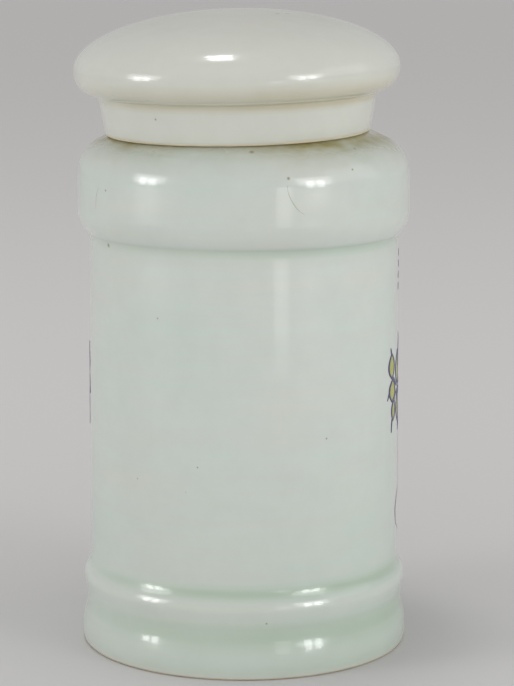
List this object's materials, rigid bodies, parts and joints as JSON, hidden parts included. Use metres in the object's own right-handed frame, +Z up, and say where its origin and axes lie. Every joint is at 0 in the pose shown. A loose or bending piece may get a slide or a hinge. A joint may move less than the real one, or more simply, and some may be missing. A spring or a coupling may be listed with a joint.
{
  "type": "apothecary jar",
  "caption": "Cylindrical glazed earthenware jar with a beaded foot, a swelling shoulder band and a loose mushroom-shaped lid.",
  "frame": {"origin": "centre of the foot's underside, on the surface that the jar stands on", "axes": "+Z up along the jar's axis; -Y towards the front, which carries the painted label; +X to the right seen from the front"},
  "size_m": [0.0882, 0.0896, 0.169],
  "materials": {
    "jar_glaze": "glossy pale green tin glaze",
    "lid_glaze": "glossy pale greenish cream glaze"
  },
  "bodies": {
    "jar": {"jar": "jar_glaze"},
    "lid": {"lid": "lid_glaze"}
  },
  "joints": [
    {"name": "lid_lift", "type": "slide", "parent": "jar", "child": "lid", "axis": [0, 0, 1], "range_m": [0, 0.06]}
  ]
}
